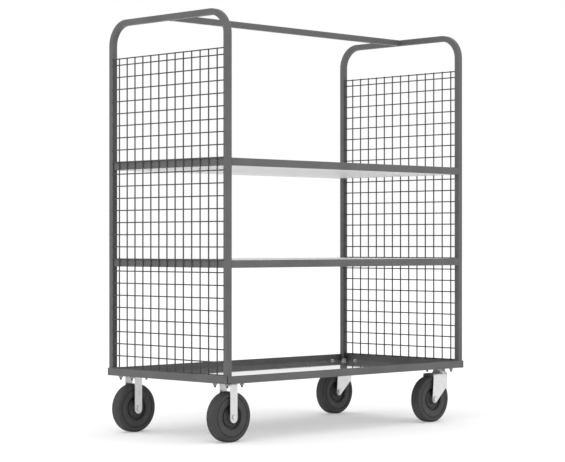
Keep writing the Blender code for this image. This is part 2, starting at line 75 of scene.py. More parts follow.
WIRE_PITCH = 0.050
WIRE_COLUMNS = 13
WIRE_ROWS = 26
WIRE_UP_R = 0.00275
WIRE_LEVEL_R = 0.0025
WIRE_SIDES = 12
WELD_SINK = 0.0002         # how far two welded wires press into each other
WIRE_INSET = 0.0013        # upright wires, inward of the lattice's middle

BEAD_R = 0.0016            # weld bead
BEAD_STEP = 0.0012

WHEEL_STEPS = 96
ROUND_STEPS = 32
LEG_INNER = 0.029
LEG_T = 0.0035
LEG_OUTER = LEG_INNER + LEG_T
TRAIL = 0.064
LEG_END_R = 0.0155         # round foot of a swivel leg
LEG_FRONT = 0.0175
LEG_REAR = 0.071
LEG_SHOULDER = 0.055       # height of the front edge's turn above the axle
CROWN_REAR = 0.036         # the crown is shorter than the legs, which stand free behind it
FIXED_HALF = 0.019         # half the width of a fixed castor's bracket
PLATE_T = 0.004            # a castor's bolting plate
PLATE_CORNER = 0.008
AXLE_R = 0.006
NUT_R = 0.011              # corner radius of the axle nut and bolt head
HEAD_T = 0.006             # axle bolt's head with its washer
WASHER_R = 0.0106
WASHER_T = 0.0014
BALLS = 26
BALL_CIRCLE = 0.0240
STUDS = 8                  # on each side of a wheel's centre
STUD_CIRCLE = 0.0300

FLOOR_GLOW = 0.17

# ---------------------------------------------------------------- materials


class Shader:
    """A Principled material with short calls for the nodes that give it its detail."""

    def __init__(self, name):
        self.material = bpy.data.materials.new(name)
        self.material.use_nodes = True
        self.tree = self.material.node_tree
        self.principled = self.tree.nodes["Principled BSDF"]
        self.place = self.node("ShaderNodeTexCoord").outputs["Object"]

    def node(self, kind, **values):
        made = self.tree.nodes.new(kind)
        for key, value in values.items():
            setattr(made, key, value)
        return made

    def link(self, source, target):
        self.tree.links.new(source, target)

    def value(self, socket, number):
        self.principled.inputs[socket].default_value = number

    def noise(self, scale, detail=3.0, roughness=0.5, stretch=None):
        texture = self.node("ShaderNodeTexNoise")
        texture.inputs["Scale"].default_value = scale
        texture.inputs["Detail"].default_value = detail
        texture.inputs["Roughness"].default_value = roughness
        if stretch:
            mapping = self.node("ShaderNodeMapping")
            mapping.inputs["Scale"].default_value = stretch
            self.link(self.place, mapping.inputs["Vector"])
            self.link(mapping.outputs["Vector"], texture.inputs["Vector"])
        else:
            self.link(self.place, texture.inputs["Vector"])
        return texture.outputs["Fac"]

    def cells(self, scale):
        texture = self.node("ShaderNodeTexVoronoi")
        texture.inputs["Scale"].default_value = scale
        self.link(self.place, texture.inputs["Vector"])
        split = self.node("ShaderNodeSeparateColor")
        self.link(texture.outputs["Color"], split.inputs["Color"])
        return split.outputs["Red"]

    def spread(self, source, low, high, out_low=0.0, out_high=1.0):
        """Map source from low..high to out_low..out_high, held at the ends."""
        ranged = self.node("ShaderNodeMapRange")
        limits = {"From Min": low, "From Max": high, "To Min": out_low, "To Max": out_high}
        for key, number in limits.items():
            ranged.inputs[key].default_value = number
        self.link(source, ranged.inputs["Value"])
        return ranged.outputs["Result"]

    def mix(self, factor, first, second):
        """Mix two colours; each is a colour or a socket that gives one."""
        mixed = self.node("ShaderNodeMix", data_type="RGBA")
        self.link(factor, mixed.inputs["Factor"])
        for key, color in (("A", first), ("B", second)):
            socket = [s for s in mixed.inputs if s.name == key and s.type == "RGBA"][0]
            if isinstance(color, tuple):
                socket.default_value = (*color, 1.0)
            else:
                self.link(color, socket)
        return [s for s in mixed.outputs if s.type == "RGBA"][0]

    def times(self, first, second):
        product = self.node("ShaderNodeMath", operation="MULTIPLY")
        self.link(first, product.inputs[0])
        if isinstance(second, float):
            product.inputs[1].default_value = second
        else:
            self.link(second, product.inputs[1])
        return product.outputs["Value"]

    def plus(self, first, second):
        total = self.node("ShaderNodeMath", operation="ADD")
        self.link(first, total.inputs[0])
        self.link(second, total.inputs[1])
        return total.outputs["Value"]

    def edges(self, radius):
        """1 on a convex or concave edge and 0 on flat faces, from a rounded normal."""
        rounded = self.node("ShaderNodeBevel", samples=4)
        rounded.inputs["Radius"].default_value = radius
        geometry = self.node("ShaderNodeNewGeometry")
        dot = self.node("ShaderNodeVectorMath", operation="DOT_PRODUCT")
        self.link(rounded.outputs["Normal"], dot.inputs[0])
        self.link(geometry.outputs["Normal"], dot.inputs[1])
        return self.spread(dot.outputs["Value"], 0.995, 0.90)

    def occlusion_shade(self, distance, opened=0.60, closed=0.15, own=False):
        """Mask for painted shade from ambient occlusion: 1 deep between close surfaces and 0 in the
        open; own looks at the piece alone.
        """
        shade = self.node("ShaderNodeAmbientOcclusion", samples=8, only_local=own)
        shade.inputs["Distance"].default_value = distance
        return self.spread(shade.outputs["AO"], opened, closed)

    def wired_side_shade(self, top):
        """1 on the side of a post where the wires are welded on, 0 elsewhere and above the top: the
        mask for the painted shade there.
        """
        place = self.node("ShaderNodeSeparateXYZ")
        self.link(self.place, place.inputs[0])
        facing = self.node("ShaderNodeSeparateXYZ")
        self.link(self.node("ShaderNodeTexCoord").outputs["Normal"], facing.inputs[0])
        # place Y times normal Y is about -0.34 on the posts' inner sides and not below 0 elsewhere
        inward = self.times(place.outputs["Y"], facing.outputs["Y"])
        below = self.spread(place.outputs["Z"], top - 0.004, top + 0.004, 1.0, 0.0)
        return self.times(self.spread(inward, -0.30, -0.22, 1.0, 0.0), below)

    def bump(self, height, strength, distance):
        bumped = self.node("ShaderNodeBump")
        bumped.inputs["Strength"].default_value = strength
        bumped.inputs["Distance"].default_value = distance
        self.link(height, bumped.inputs["Height"])
        self.link(bumped.outputs["Normal"], self.principled.inputs["Normal"])

    def color(self, source):
        self.link(source, self.principled.inputs["Base Color"])

    def rough(self, source):
        self.link(source, self.principled.inputs["Roughness"])


def painted(name, dark, light, worn, shine=0.45, mesh_top=None):
    """Powder coat: fine orange peel, soft cloudy tone, rubbed edges and a few scuffs; with
    mesh_top, painted shade on the posts' inner sides below the wire mesh's top.
    """
    s = Shader(name)
    cloud = s.spread(s.noise(9.0), 0.35, 0.65)
    base = s.mix(cloud, dark, light)
    rubbed = s.times(s.edges(0.0012), s.spread(s.noise(60.0, 6.0), 0.40, 0.62))
    scuffs = s.spread(s.noise(34.0, 8.0, 0.65, (1.0, 1.0, 0.22)), 0.66, 0.76, 0.0, 0.35)
    tone = s.mix(s.plus(s.times(rubbed, 0.55), scuffs), base, worn)
    if mesh_top:
        # painted shade: darker paint on the posts' inner sides below the wire mesh's top, where the
        # mesh shades them
        tone = s.mix(s.times(s.wired_side_shade(mesh_top), 0.75), tone, WIRED_SIDE_SHADE)
    s.color(tone)
    s.rough(s.spread(s.noise(45.0, 5.0), 0.3, 0.7, 0.38, 0.52))
    s.bump(s.noise(620.0, 2.0), 0.22, 0.0002)
    s.value("Specular IOR Level", shine)
    return s.material


def zinc_plate(name, base, shade, shade_inside):
    """Bright zinc on pressed steel: faint clouds, drawing marks and painted shade in the hollows,
    deep and near black inside the swivel forks.
    """
    s = Shader(name)
    s.value("Metallic", 0.85)
    tone = s.spread(s.noise(38.0, 4.0), 0.3, 0.7)
    base_tone = s.mix(tone, base, shade)
    grime = s.times(s.edges(0.0010), s.spread(s.noise(90.0, 4.0), 0.45, 0.7))
    worn_tone = s.mix(s.times(grime, 0.5), base_tone, (0.42, 0.42, 0.41))
    # painted shade: near black in the hollows, strong and far reaching inside the swivel forks,
    # only in tight corners elsewhere
    inside = s.occlusion_shade(0.09, 0.97, 0.74, True) if shade_inside else s.occlusion_shade(0.02)
    s.color(s.mix(s.times(inside, 0.96), worn_tone, (0.012, 0.012, 0.012)))
    # inside the swivel forks the painted shade also takes away the metal's shine, so they look
    # black
    if shade_inside:
        s.link(s.spread(inside, 0.0, 1.0, 0.85, 0.0), s.principled.inputs["Metallic"])
    s.rough(s.spread(s.noise(160.0, 3.0), 0.3, 0.7, 0.30, 0.42))
    s.bump(s.noise(300.0, 3.0, 0.5, (1.0, 1.0, 0.12)), 0.12, 0.0002)
    return s.material


def deck_sheet():
    """Bright galvanised sheet: near mirror, with a faint spangle and long rub marks."""
    s = Shader("deck_sheet")
    s.value("Metallic", 0.75)
    spangle = s.cells(55.0)
    base = s.mix(spangle, (0.56, 0.56, 0.56), (0.62, 0.62, 0.62))
    rubs = s.spread(s.noise(5.0, 9.0, 0.7, (0.25, 2.5, 1.0)), 0.60, 0.78, 0.0, 0.5)
    s.color(s.mix(rubs, base, (0.50, 0.50, 0.49)))
    s.rough(s.plus(s.spread(spangle, 0.0, 1.0, 0.02, 0.05), s.times(rubs, 0.08)))
    s.bump(s.noise(900.0, 2.0), 0.01, 0.0001)
    return s.material


def laminate():
    """Light grey melamine face: fine pearl grain, faint sheen and slight handling marks."""
    s = Shader("shelf_board")
    grain = s.spread(s.noise(900.0, 2.0), 0.35, 0.65)
    base = s.mix(grain, (0.690, 0.690, 0.690), (0.750, 0.750, 0.750))
    marks = s.spread(s.noise(7.0, 9.0, 0.7, (1.0, 0.35, 1.0)), 0.62, 0.80, 0.0, 0.22)
    s.color(s.mix(marks, base, (0.55, 0.55, 0.54)))
    s.rough(s.spread(s.noise(120.0, 4.0), 0.3, 0.7, 0.36, 0.50))
    s.bump(s.noise(1400.0, 2.0), 0.10, 0.0001)
    return s.material


def moulded(name, low, high, dust, rough_low, rough_high, grain):
    """Moulded rubber or plastic: fine grain, mottled tone, patches of dust, and painted shade in
    the low places.
    """
    s = Shader(name)
    tone = s.spread(s.noise(26.0, 4.0), 0.3, 0.7)
    base = s.mix(tone, low, high)
    dusting = s.spread(s.noise(75.0, 7.0, 0.7), 0.52, 0.80, 0.0, 0.45)
    # painted shade: near black in recesses and between close parts
    deep = s.times(s.occlusion_shade(0.025, 0.75, 0.25), 0.90)
    s.color(s.mix(deep, s.mix(dusting, base, dust), (0.008, 0.008, 0.008)))
    s.rough(s.spread(s.noise(140.0, 3.0), 0.3, 0.7, rough_low, rough_high))
    s.bump(s.noise(grain, 3.0), 0.25, 0.0003)
    s.value("Specular IOR Level", 0.30)
    return s.material


def dark_steel():
    """Dull hardware steel with an oily, uneven surface."""
    s = Shader("dark_steel")
    s.value("Metallic", 0.9)
    tone = s.spread(s.noise(210.0, 5.0), 0.35, 0.65)
    s.color(s.mix(tone, (0.26, 0.26, 0.26), (0.42, 0.42, 0.41)))
    s.rough(s.spread(s.noise(330.0, 4.0), 0.3, 0.7, 0.30, 0.50))
    s.bump(s.noise(700.0, 3.0), 0.15, 0.0002)
    return s.material


PAINT_DARK = (0.085, 0.085, 0.085)
PAINT_LIGHT = (0.102, 0.102, 0.102)
PAINT_WORN = (0.180, 0.180, 0.178)
# painted shade for the posts' sides that face along the wire mesh
WIRED_SIDE_SHADE = (0.030, 0.030, 0.030)

MATERIALS = {
    "frame_paint": painted("frame_paint", PAINT_DARK, PAINT_LIGHT, PAINT_WORN),
    # the hoops' paint, with painted shade on the posts' inner sides below the wire mesh's top
    "frame_paint.wired_shade": painted("wired_shade_paint", PAINT_DARK, PAINT_LIGHT, PAINT_WORN,
                                 mesh_top=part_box("left_mesh")[1].z),
    "wire_mesh": painted("wire_mesh", (0.062, 0.062, 0.062), (0.074, 0.074, 0.074),
                         (0.12, 0.12, 0.12), 0.10),
    "shelf_board": laminate(),
    "deck_sheet": deck_sheet(),
    "zinc": zinc_plate("zinc", (0.64, 0.64, 0.645), (0.70, 0.70, 0.70), False),
    # zinc with deep painted shade inside, for the swivel forks
    "zinc.shaded_inside": zinc_plate("zinc_shaded_inside", (0.66, 0.66, 0.665), (0.72, 0.72, 0.72), True),
    "dark_steel": dark_steel(),
    "wheel_centre": moulded("wheel_centre", (0.044, 0.044, 0.044), (0.054, 0.054, 0.054),
                            (0.085, 0.085, 0.083), 0.48, 0.62, 800.0),
    "tyre": moulded("tyre", (0.042, 0.042, 0.042), (0.052, 0.052, 0.052),
                    (0.088, 0.088, 0.086), 0.60, 0.78, 520.0),
    "bush": moulded("bush", (0.24, 0.24, 0.25), (0.30, 0.30, 0.30),
                    (0.20, 0.20, 0.19), 0.35, 0.50, 900.0),
}


# ---------------------------------------------------------------- pieces and solids
def piece(name, bm, finish, body, nodes, sharp=32.0, bevel=0.0):
    """A finished piece: it rides on a body, stands for CAD nodes and takes a slot's finish."""
    bmesh.ops.remove_doubles(bm, verts=bm.verts, dist=1e-6)
    bmesh.ops.recalc_face_normals(bm, faces=bm.faces)
    mesh = bpy.data.meshes.new(name)
    bm.to_mesh(mesh)
    bm.free()
    mesh.shade_smooth()
    mesh.set_sharp_from_angle(angle=math.radians(sharp))
    mesh.materials.append(MATERIALS[finish])
    obj = bpy.data.objects.new(name, mesh)
    bpy.context.scene.collection.objects.link(obj)
    if bevel:
        rounding = obj.modifiers.new("rounded edges", "BEVEL")
        rounding.width = bevel
        rounding.segments = 2
        rounding.limit_method = "ANGLE"
        rounding.angle_limit = math.radians(30)
        rounding.harden_normals = True
    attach(obj, body)
    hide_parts(*nodes)
    return obj


def prism_into(bm, outline, low, high, axis):
    """Add a straight bar; the outline lies across the axis and is taken in XYZ order."""
    def corner(a, b, along):
        return {"X": (along, a, b), "Y": (a, along, b), "Z": (a, b, along)}[axis]
    bottom = [bm.verts.new(corner(a, b, low)) for a, b in outline]
    top = [bm.verts.new(corner(a, b, high)) for a, b in outline]
    bm.faces.new(bottom)
    bm.faces.new(top[::-1])
    for i in range(len(outline)):
        j = (i + 1) % len(outline)
        bm.faces.new((bottom[i], bottom[j], top[j], top[i]))


def prism(outline, low, high, axis="Z"):
    bm = bmesh.new()
    prism_into(bm, outline, low, high, axis)
    return bm


def arc(centre, radius, start, stop, steps):
    """Points on an arc, from start to stop degrees."""
    points = []
    for i in range(steps + 1):
        angle = math.radians(start + (stop - start) * i / steps)
        points.append((centre[0] + radius * math.cos(angle), centre[1] + radius * math.sin(angle)))
    return points


def rounded_rectangle(a0, a1, b0, b1, radius, steps=6):
    return (arc((a1 - radius, b1 - radius), radius, 0, 90, steps)
            + arc((a0 + radius, b1 - radius), radius, 90, 180, steps)
            + arc((a0 + radius, b0 + radius), radius, 180, 270, steps)
            + arc((a1 - radius, b0 + radius), radius, 270, 360, steps))


def turned_into(bm, profile, steps, axis="Z", centre=(0, 0, 0), turn=0.0):
    """Add a turned body: profile points are (radius, height) along its axis."""
    rings = []
    for i in range(steps):
        angle = turn + math.tau * i / steps
        c, s = math.cos(angle), math.sin(angle)
        ring = []
        for r, h in profile:
            offset = (r * c, r * s, h) if axis == "Z" else (r * c, h, r * s)
            ring.append(bm.verts.new(Vector(centre) + Vector(offset)))
        rings.append(ring)
    for i in range(steps):
        here, after = rings[i], rings[(i + 1) % steps]
        for j in range(len(profile)):
            k = (j + 1) % len(profile)
            if profile[j][0] == 0 and profile[k][0] == 0:
                continue
            bm.faces.new((here[j], here[k], after[k], after[j]))
    bmesh.ops.remove_doubles(bm, verts=[v for ring in rings for v in ring], dist=1e-7)


def turned(profile, steps, axis="Z", centre=(0, 0, 0), turn=0.0):
    bm = bmesh.new()
    turned_into(bm, profile, steps, axis, centre, turn)
    return bm


def mirrored(profile):
    """A profile and its mirror image across height 0, as one closed outline."""
    return profile + [(r, -h) for r, h in profile[::-1]]


def rod_into(bm, start, end, radius, sides=WIRE_SIDES):
    """Add a round wire with softly cropped ends."""
    start, end = Vector(start), Vector(end)
    along = (end - start).normalized()
    across = along.orthogonal().normalized()
    other = along.cross(across)
    crop = radius * 0.35
    stations = ((start, 0.72), (start + along * crop, 1.0), (end - along * crop, 1.0), (end, 0.72))
    rings = []
    for point, share in stations:
        ring = []
        for i in range(sides):
            angle = math.tau * i / sides
            offset = across * math.cos(angle) + other * math.sin(angle)
            ring.append(bm.verts.new(point + offset * radius * share))
        rings.append(ring)
    bm.faces.new(rings[0][::-1])
    bm.faces.new(rings[-1])
    for here, after in zip(rings, rings[1:]):
        for i in range(sides):
            j = (i + 1) % sides
            bm.faces.new((here[i], here[j], after[j], after[i]))


def bead_into(bm, start, end, radius=BEAD_R, sides=8):
    """Add a straight weld bead: overlapping ripples that taper at both ends."""
    start, end = Vector(start), Vector(end)
    length = (end - start).length
    count = max(6, round(length / BEAD_STEP))
    along = (end - start) / length
    across = along.orthogonal().normalized()
    other = along.cross(across)
    rings = []
    for i in range(count + 1):
        t = i / count
        taper = min(1.0, 4 * t + 0.25, 4 * (1 - t) + 0.25)
        ripple = 1.0 + 0.12 * math.cos(i * math.pi)
        ring = []
        for k in range(sides):
            angle = math.tau * k / sides
            offset = across * math.cos(angle) + other * math.sin(angle)
            ring.append(bm.verts.new(start + along * length * t + offset * radius * taper * ripple))
        rings.append(ring)
    bm.faces.new(rings[0][::-1])
    bm.faces.new(rings[-1])
    for here, after in zip(rings, rings[1:]):
        for k in range(sides):
            j = (k + 1) % sides
            bm.faces.new((here[k], here[j], after[j], after[k]))


def upright_bead(bm, x, y, low, high):
    """Add the bead at an angle's end, over most of the height from low to high."""
    bead_into(bm, (x, y, low.z + 0.004), (x, y, high.z - 0.002))


# ---------------------------------------------------------------- hoops and tie bar
def square_outline(size, corner, steps):
    half = size / 2
    return rounded_rectangle(-half, half, -half, half, corner, steps)


def tube_into(bm, path, frames, size):
    """Add a hollow square tube along a path, open at both ends."""
    outlines = (square_outline(size, TUBE_CORNER, 5),
                square_outline(size - 2 * TUBE_WALL, TUBE_CORNER - TUBE_WALL, 5))
    rings = []
    for point, (side, up) in zip(path, frames):
        rings.append([[bm.verts.new(point + side * a + up * b) for a, b in outline]
                      for outline in outlines])
    pairs = [(near, far) for here, after in zip(rings, rings[1:]) for near, far in zip(here, after)]
    for near, far in pairs + [tuple(rings[0]), tuple(rings[-1])]:
        for i in range(len(near)):
            j = (i + 1) % len(near)
            bm.faces.new((near[i], near[j], far[j], far[i]))


def hoop(end_name):
    node = f"{end_name}_hoop"
    low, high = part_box(node)
    size = high.x - low.x
    x = (low.x + high.x) / 2
    post_y = high.y - size / 2
    top = high.z - size / 2
    out = Vector((1, 0, 0))
    path = [Vector((x, -post_y, low.z))]
    frames = [(out, Vector((0, 1, 0)))]
    for side in (-1, 1):
        centre = Vector((x, side * (post_y - BEND_R), top - BEND_R))
        for i in range(BEND_STEPS + 1):
            turn = i / BEND_STEPS if side < 0 else 1 - i / BEND_STEPS
            angle = math.pi / 2 * turn
            radial = Vector((0, side * math.cos(angle), math.sin(angle)))
            path.append(centre + radial * BEND_R)
            frames.append((out, -radial))
    path.append(Vector((x, post_y, low.z)))
    frames.append((out, Vector((0, -1, 0))))
    bm = bmesh.new()
    tube_into(bm, path, frames, size)
    # the hoop takes the paint with painted shade on its posts' wired sides
    piece(f"bent_tube_{end_name}", bm, "frame_paint.wired_shade", "cage", [node], sharp=40)


def tie_bar():
    """The top bar, with a weld bead round each end where it meets a hoop."""
    low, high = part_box("top_tie_bar")
    size = high.z - low.z
    z = (low.z + high.z) / 2
    path = [Vector((low.x, 0, z)), Vector((high.x, 0, z))]
    frames = [(Vector((0, 1, 0)), Vector((0, 0, 1)))] * 2
    bm = bmesh.new()
    tube_into(bm, path, frames, size)
    reach = size / 2 - TUBE_CORNER
    for x in (low.x, high.x):
        for side in (-1, 1):
            bead_into(bm, (x, side * size / 2, z - reach), (x, side * size / 2, z + reach))
        bead_into(bm, (x, -reach, z - size / 2), (x, reach, z - size / 2))
    piece("top_tie_tube", bm, "frame_paint", "cage", ["top_tie_bar"], sharp=40)


# ---------------------------------------------------------------- wire panels
def wire_panel(end_name, end):
    """Upright wires between the posts, with the level wires welded across their outer side."""
    node = f"{end_name}_mesh"
    low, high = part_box(node)
    post_low, post_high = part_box(f"{end_name}_hoop")
    post_half = (post_high.x - post_low.x) / 2
    x_up = (low.x + high.x) / 2 - end * WIRE_INSET
    x_level = x_up + end * (WIRE_UP_R + WIRE_LEVEL_R - WELD_SINK)
    lowest = low.z + WIRE_LEVEL_R
    rows = [lowest + k * WIRE_PITCH for k in range(WIRE_ROWS)]
    rows.append(high.z - WIRE_LEVEL_R)
    stub = post_high.y - 2 * post_half + 0.004        # the level wires lap onto the posts
    bm = bmesh.new()
    for i in range(WIRE_COLUMNS):
        y = (i - (WIRE_COLUMNS - 1) / 2) * WIRE_PITCH
        rod_into(bm, (x_up, y, low.z - 0.001), (x_up, y, high.z + 0.001), WIRE_UP_R)
    for z in rows:
        rod_into(bm, (x_level, -stub, z), (x_level, stub, z), WIRE_LEVEL_R)
    piece(f"wire_panel_{end_name}", bm, "wire_mesh", "cage", [node], sharp=50)


# ---------------------------------------------------------------- angles, deck and shelves
def angle_section(outer, inward, bottom, top, flange):
    """Hot rolled angle: the web stands on its outer side, toes and root are rounded."""
    toe = ANGLE_T * 0.45
    root = 0.0025
    web_in = outer + inward * ANGLE_T
    lip = bottom + ANGLE_T
    tip = outer + inward * flange
    toe_arc = arc((0, 0), toe, 90, 0, 3)
    root_arc = arc((0, 0), root, 180, 270, 4)
    outline = [(outer, bottom + EDGE), (outer, top)]
    outline += [(web_in - inward * (toe - a), top - toe + b) for a, b in toe_arc]
    outline += [(web_in + inward * (root + a), lip + root + b) for a, b in root_arc]
    outline += [(tip - inward * (toe - a), lip - toe + b) for a, b in toe_arc]
    outline += [(tip, bottom), (outer + inward * EDGE, bottom)]
    return outline


def base_short_rail(end_name, end):
    """Angle across the end, with its folded corner tabs."""
    node = f"base_rail_{end_name}"
    low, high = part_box(node)
    outer = high.x if end > 0 else low.x
    bm = prism(angle_section(outer, -end, low.z, high.z, BASE_FLANGE), low.y, high.y, "Y")
    for face, side in ((low.y, 1), (high.y, -1)):
        tab = [sorted((outer, outer - end * CORNER_TAB)), sorted((face, face + side * ANGLE_T))]
        prism_into(bm, rounded_rectangle(*tab[0], *tab[1], EDGE, 2), low.z, high.z, "Z")
    piece(f"base_end_angle_{end_name}", bm, "frame_paint", "cage", [node])


def base_long_rail(side_name, side):
    node = f"base_rail_{side_name}"
    low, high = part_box(node)
    outer = high.y if side > 0 else low.y
    bm = prism(angle_section(outer, -side, low.z, high.z, BASE_FLANGE), low.x, high.x, "X")
    y = outer - side * ANGLE_T
    for x in (low.x, high.x):
        upright_bead(bm, x, y, low, high)
    piece(f"base_side_angle_{side_name}", bm, "frame_paint", "cage", [node])


def notched_outline(low, high, notch_x, notch_y, radius=0.002):
    """A rectangle with a square notch for the post in each corner."""
    middle = (low.x + high.x) / 2
    reach_x = (high.x - low.x) / 2
    reach_y = high.y
    quarter = (arc((reach_x - radius, notch_y - radius), radius, 0, 90, 3)
               + [(notch_x, notch_y)]
               + arc((notch_x - radius, reach_y - radius), radius, 0, 90, 3))
    outline = quarter + [(-a, b) for a, b in quarter[::-1]]
    outline += [(-a, -b) for a, b in quarter] + [(a, -b) for a, b in quarter[::-1]]
    return [(middle + a, b) for a, b in outline]


def post_notch():
    """How far a sheet reaches from the middle before it meets a post, along X and Y."""
    left_low, left_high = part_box("left_hoop")
    right_low, right_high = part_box("right_hoop")
    clear = 0.0004
    size = right_high.x - right_low.x
    return (right_low.x - left_high.x) / 2 - clear, right_high.y - size - clear


def deck():
    low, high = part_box("base_deck")
    bm = prism(notched_outline(low, high, *post_notch()), low.z, high.z)
    piece("deck_plate", bm, "deck_sheet", "cage", ["base_deck"], bevel=0.0004)


def stepped_board(outline, step, low, high, seat):
    """A board with a rebate round its underside, which drops into the frame's opening."""
    bm = bmesh.new()
    top = [bm.verts.new((x, y, high)) for x, y in outline]
    rim = [bm.verts.new((x, y, seat)) for x, y in outline]
    ledge = [bm.verts.new((x, y, seat)) for x, y in step]
    under = [bm.verts.new((x, y, low)) for x, y in step]
    bm.faces.new(top)
    bm.faces.new(under)
    for upper, lower in ((top, rim), (rim, ledge), (ledge, under)):
        for i in range(len(upper)):
            j = (i + 1) % len(upper)
            bm.faces.new((upper[i], upper[j], lower[j], lower[i]))
    return bm


def gusset(middle, end, side, notch_x, notch_y, reach_x, reach_y):
    """Outline of the plate that joins two shelf angles round the inside of a post."""
    inner_x, inner_y = notch_x - SHELF_GUSSET, notch_y - SHELF_GUSSET
    outline = [(inner_x, inner_y), (reach_x, inner_y), (reach_x, notch_y), (notch_x, notch_y),
               (notch_x, reach_y), (inner_x, reach_y)]
    return [(middle + end * a, side * b) for a, b in outline]


def shelf(level):
    """The shelf's angles with their beads on the posts, and the board that lies in them."""
    node = f"{level}_shelf_frame"
    low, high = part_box(node)
    notch_x, notch_y = post_notch()
    middle = (low.x + high.x) / 2
    inset = 0.00005            # keeps the corner plates' faces off the angles' faces
    bm = bmesh.new()
    for outer, inward in ((low.x, 1), (high.x, -1)):
        section = angle_section(outer, inward, low.z, high.z, SHELF_FLANGE)
        prism_into(bm, section, -notch_y, notch_y, "Y")
        for side in (-1, 1):
            upright_bead(bm, outer + inward * ANGLE_T, side * notch_y, low, high)
            reach = (high.x - middle - ANGLE_T / 2, high.y - ANGLE_T / 2)
            outline = gusset(middle, -inward, side, notch_x, notch_y, *reach)
            prism_into(bm, outline, low.z + inset, low.z + ANGLE_T - inset, "Z")
    for outer, inward in ((low.y, 1), (high.y, -1)):
        section = angle_section(outer, inward, low.z, high.z, SHELF_FLANGE)
        prism_into(bm, section, middle - notch_x, middle + notch_x, "X")
        for end in (-1, 1):
            upright_bead(bm, middle + end * notch_x, outer + inward * ANGLE_T, low, high)
    piece(f"shelf_angles_{level}", bm, "frame_paint", "cage", [node])

    board_node = f"{level}_shelf_board"
    low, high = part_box(board_node)
    clear = 0.0003
    rebate = Vector((SHELF_FLANGE - ANGLE_T, SHELF_FLANGE - ANGLE_T, 0))
    outline = notched_outline(low, high, notch_x - clear, notch_y - clear)
    step = notched_outline(low + rebate, high - rebate, notch_x - SHELF_GUSSET - clear,
                           notch_y - SHELF_GUSSET - clear)
    bm = stepped_board(outline, step, low.z, high.z, low.z + ANGLE_T + clear)
    piece(f"laminated_board_{level}", bm, "shelf_board", "cage", [board_node], bevel=0.0006)


# ---------------------------------------------------------------- castors
def strap(path, limits):
    """A pressed strap: each path point is (y, z, normal); limits gives its X reach there."""
    bm = bmesh.new()
    rings = []
    for y, z, (ny, nz) in path:
        x0, x1 = limits(y, z)
        inner = (y - ny * LEG_T, z - nz * LEG_T)
        edge = min(EDGE, (x1 - x0) / 4)
        outer_rim = (y - ny * edge, z - nz * edge)
        inner_rim = (inner[0] + ny * edge, inner[1] + nz * edge)
        corners = ((x0 + edge, y, z), (x1 - edge, y, z), (x1, *outer_rim), (x1, *inner_rim),
                   (x1 - edge, *inner), (x0 + edge, *inner), (x0, *inner_rim), (x0, *outer_rim))
        rings.append([bm.verts.new(corner) for corner in corners])
    bm.faces.new(rings[0][::-1])
    bm.faces.new(rings[-1])
    for here, after in zip(rings, rings[1:]):
        for i in range(len(here)):
            j = (i + 1) % len(here)
            bm.faces.new((here[i], here[j], after[j], after[i]))
    return bm


def fork_path(foot, end_r, axle_z, top, bend):
    """Outer line of a fork from one foot over the top to the other, closer set at the feet."""
    leg = []
    for i in range(1, 13):
        z = axle_z - end_r * math.cos(math.pi / 2 * i / 12)
        leg.append((-LEG_OUTER, max(z, foot), (-1.0, 0.0)))
    for z in (axle_z + 0.02, axle_z + 0.04, axle_z + 0.054, top - bend - 0.004):
        leg.append((-LEG_OUTER, z, (-1.0, 0.0)))
    for y, z in arc((-LEG_OUTER + bend, top - bend), bend, 180, 90, 8):
        normal = ((y + LEG_OUTER - bend) / bend, (z - top + bend) / bend)
        leg.append((y, z, normal))
    return leg + [(-y, z, (-ny, nz)) for y, z, (ny, nz) in leg[::-1]]


def shifted(bm, x, y, z=0.0):
    bmesh.ops.translate(bm, verts=bm.verts, vec=(x, y, z))
    return bm


def joined(*parts):
    """Several meshes in one."""
    whole = parts[0]
    for part in parts[1:]:
        mesh = bpy.data.meshes.new("part")
        part.to_mesh(mesh)
        part.free()
        whole.from_mesh(mesh)
        bpy.data.meshes.remove(mesh)
    return whole


def top_plate(low, high):
    """A castor's bolting plate with rounded corners, about its own centre."""
    centre = (low + high) / 2
    half_x, half_y = (high.x - low.x) / 2, (high.y - low.y) / 2
    outline = rounded_rectangle(-half_x, half_x, -half_y, half_y, PLATE_CORNER)
    return prism(outline, high.z - PLATE_T, high.z), centre


def axle_boss(side, z):
    """The raised ring pressed round the axle hole on the outside of a leg."""
    profile = [(0.0, 0.0), (0.0145, 0.0), (0.0135, 0.0012), (0.0, 0.0012)]
    profile = [(r, side * (LEG_OUTER - 0.0004 + h)) for r, h in profile]
    return turned(profile, ROUND_STEPS, "Y", (0, 0, z))


def fixed_fork(tag):
    """Plate and U-shaped bracket of a fixed castor."""
    node = f"castor_fork_{tag}"
    low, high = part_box(node)
    axle_low, axle_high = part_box(f"tyre_{tag}")
    axle_z = (axle_low.z + axle_high.z) / 2
    plate, centre = top_plate(low, high)
    round_from = axle_z - 0.004        # the foot is rounded off below this height

    def limits(y, z):
        if z >= round_from:
            return -FIXED_HALF, FIXED_HALF
        drop = (round_from - z) / FIXED_HALF
        reach = max(FIXED_HALF * math.sqrt(max(0.0, 1 - drop * drop)), 0.002)
        return -reach, reach

    bracket = strap(fork_path(low.z, axle_z - low.z, axle_z, high.z - 0.0042, 0.007), limits)
    bm = joined(plate, bracket, axle_boss(-1, axle_z), axle_boss(1, axle_z))
    piece(f"fixed_bracket_{tag}", shifted(bm, centre.x, centre.y), "zinc", "cage", [node])


